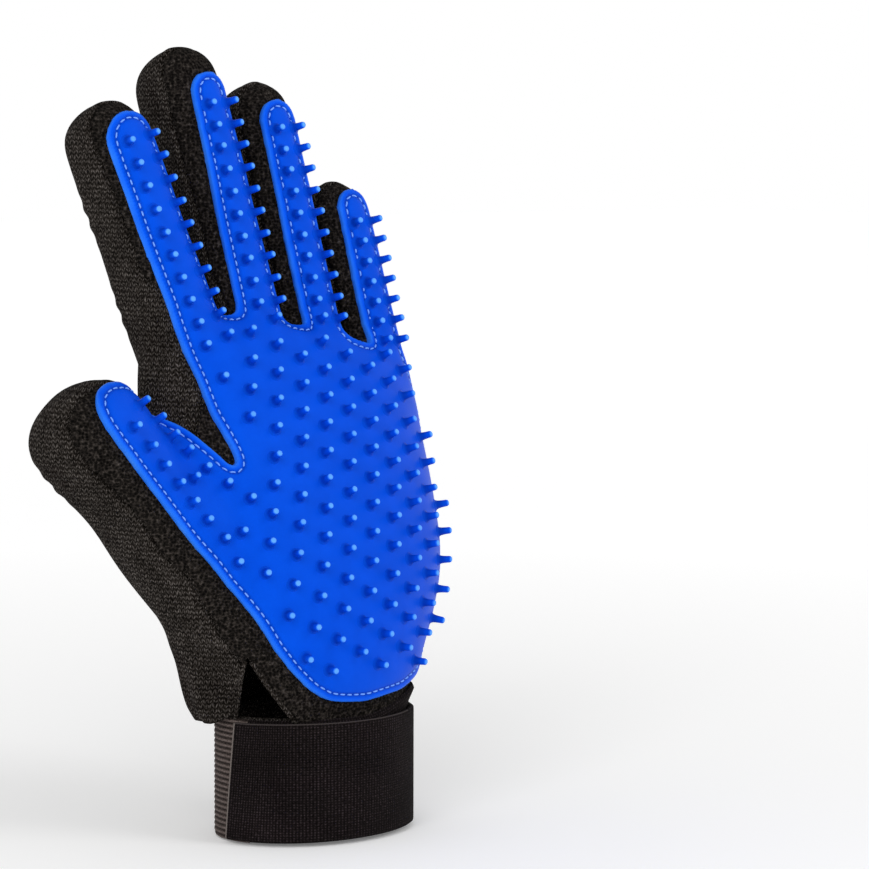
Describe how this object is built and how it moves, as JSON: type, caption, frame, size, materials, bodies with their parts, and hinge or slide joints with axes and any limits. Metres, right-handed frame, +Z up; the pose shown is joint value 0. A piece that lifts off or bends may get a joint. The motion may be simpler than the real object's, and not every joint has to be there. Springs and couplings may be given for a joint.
{
  "type": "pet grooming glove",
  "caption": "Five-finger fabric glove whose palm and fingers carry a soft rubber pad of short pins for lifting loose pet hair, closed by a wrist strap.",
  "frame": {"origin": "centre of the hand opening, in the plane of the cuff's lower rim", "axes": "+Z up the forearm and fingers, -Y the way the palm faces, -X the thumb's side, +X the little finger's side"},
  "size_m": [0.143, 0.0866, 0.243],
  "materials": {
    "knit_back": "fine jersey knit",
    "mesh_palm": "coarse air mesh",
    "ribbed_elastic": "ribbed elastic",
    "strap_pile": "brushed loop pile",
    "hook_tape": "moulded hooks",
    "lining": "plain knit",
    "rubber_pad": "satin"
  },
  "bodies": {
    "hand": {"back_panel": "knit_back", "palm_panel": "mesh_palm", "index_side_wall": "mesh_palm", "thumb_side_wall": "mesh_palm", "web_index_middle": "mesh_palm", "web_middle_ring": "mesh_palm", "web_ring_little": "mesh_palm", "little_side_wall": "mesh_palm", "palm_pad": "rubber_pad", "cuff_lining": "lining", "cuff_elastic": "ribbed_elastic", "loop_landing": "strap_pile", "strap_root": "strap_pile"},
    "index_base": {"index_back_base": "knit_back", "index_palm_base": "mesh_palm", "index_sides_base": "mesh_palm", "index_pad_base": "rubber_pad"},
    "index_tip": {"index_back_tip": "knit_back", "index_palm_tip": "mesh_palm", "index_sides_tip": "mesh_palm", "index_pad_tip": "rubber_pad"},
    "middle_base": {"middle_back_base": "knit_back", "middle_palm_base": "mesh_palm", "middle_sides_base": "mesh_palm", "middle_pad_base": "rubber_pad"},
    "middle_tip": {"middle_back_tip": "knit_back", "middle_palm_tip": "mesh_palm", "middle_sides_tip": "mesh_palm", "middle_pad_tip": "rubber_pad"},
    "ring_base": {"ring_back_base": "knit_back", "ring_palm_base": "mesh_palm", "ring_sides_base": "mesh_palm", "ring_pad_base": "rubber_pad"},
    "ring_tip": {"ring_back_tip": "knit_back", "ring_palm_tip": "mesh_palm", "ring_sides_tip": "mesh_palm", "ring_pad_tip": "rubber_pad"},
    "little_base": {"little_back_base": "knit_back", "little_palm_base": "mesh_palm", "little_sides_base": "mesh_palm", "little_pad_base": "rubber_pad"},
    "little_tip": {"little_back_tip": "knit_back", "little_palm_tip": "mesh_palm", "little_sides_tip": "mesh_palm", "little_pad_tip": "rubber_pad"},
    "thumb_base": {"thumb_back_base": "knit_back", "thumb_palm_base": "mesh_palm", "thumb_sides_base": "mesh_palm", "thumb_pad_base": "rubber_pad"},
    "thumb_tip": {"thumb_back_tip": "knit_back", "thumb_palm_tip": "mesh_palm", "thumb_sides_tip": "mesh_palm", "thumb_pad_tip": "rubber_pad"},
    "strap": {"strap_panel": "strap_pile", "hook_patch": "hook_tape"}
  },
  "joints": [
    {"name": "index_knuckle", "type": "hinge", "parent": "hand", "child": "index_base", "pos_m": [-0.03494, 0.02312, 0.16653], "axis": [0.9694, 0.0593, 0.238], "range_deg": [0, 55], "stiffness_Nm_per_rad": 0.02},
    {"name": "index_middle_bend", "type": "hinge", "parent": "index_base", "child": "index_tip", "pos_m": [-0.04255, 0.03039, 0.19569], "axis": [0.9694, 0.0593, 0.238], "range_deg": [0, 65], "stiffness_Nm_per_rad": 0.02},
    {"name": "middle_knuckle", "type": "hinge", "parent": "hand", "child": "middle_base", "pos_m": [-0.00916, 0.02295, 0.16584], "axis": [0.9936, 0.0274, 0.1098], "range_deg": [0, 55], "stiffness_Nm_per_rad": 0.02},
    {"name": "middle_middle_bend", "type": "hinge", "parent": "middle_base", "child": "middle_tip", "pos_m": [-0.01357, 0.03232, 0.20344], "axis": [0.9936, 0.0274, 0.1098], "range_deg": [0, 65], "stiffness_Nm_per_rad": 0.02},
    {"name": "ring_knuckle", "type": "hinge", "parent": "hand", "child": "ring_base", "pos_m": [0.01504, 0.02163, 0.16054], "axis": [0.9968, 0.0194, 0.0778], "range_deg": [0, 55], "stiffness_Nm_per_rad": 0.02},
    {"name": "ring_middle_bend", "type": "hinge", "parent": "ring_base", "child": "ring_tip", "pos_m": [0.01223, 0.03007, 0.19439], "axis": [0.9968, 0.0194, 0.0778], "range_deg": [0, 65], "stiffness_Nm_per_rad": 0.02},
    {"name": "little_knuckle", "type": "hinge", "parent": "hand", "child": "little_base", "pos_m": [0.03889, 0.02005, 0.15421], "axis": [0.9949, 0.0244, 0.0981], "range_deg": [0, 55], "stiffness_Nm_per_rad": 0.02},
    {"name": "little_middle_bend", "type": "hinge", "parent": "little_base", "child": "little_tip", "pos_m": [0.03666, 0.02534, 0.17545], "axis": [0.9949, 0.0244, 0.0981], "range_deg": [0, 65], "stiffness_Nm_per_rad": 0.02},
    {"name": "thumb_swing", "type": "hinge", "parent": "hand", "child": "thumb_base", "pos_m": [-0.0435, -0.00306, 0.09872], "axis": [-0.1356, 0.2397, 0.9613], "range_deg": [0, 40], "stiffness_Nm_per_rad": 0.02},
    {"name": "thumb_middle_bend", "type": "hinge", "parent": "thumb_base", "child": "thumb_tip", "pos_m": [-0.06853, 0.01174, 0.1209], "axis": [0.8039, 0.1439, 0.5772], "range_deg": [0, 50], "stiffness_Nm_per_rad": 0.02},
    {"name": "strap_peel", "type": "hinge", "parent": "hand", "child": "strap", "pos_m": [0.0348, -0.00524, 0.019], "axis": [0, 0, 1], "range_deg": [0, 120]}
  ]
}
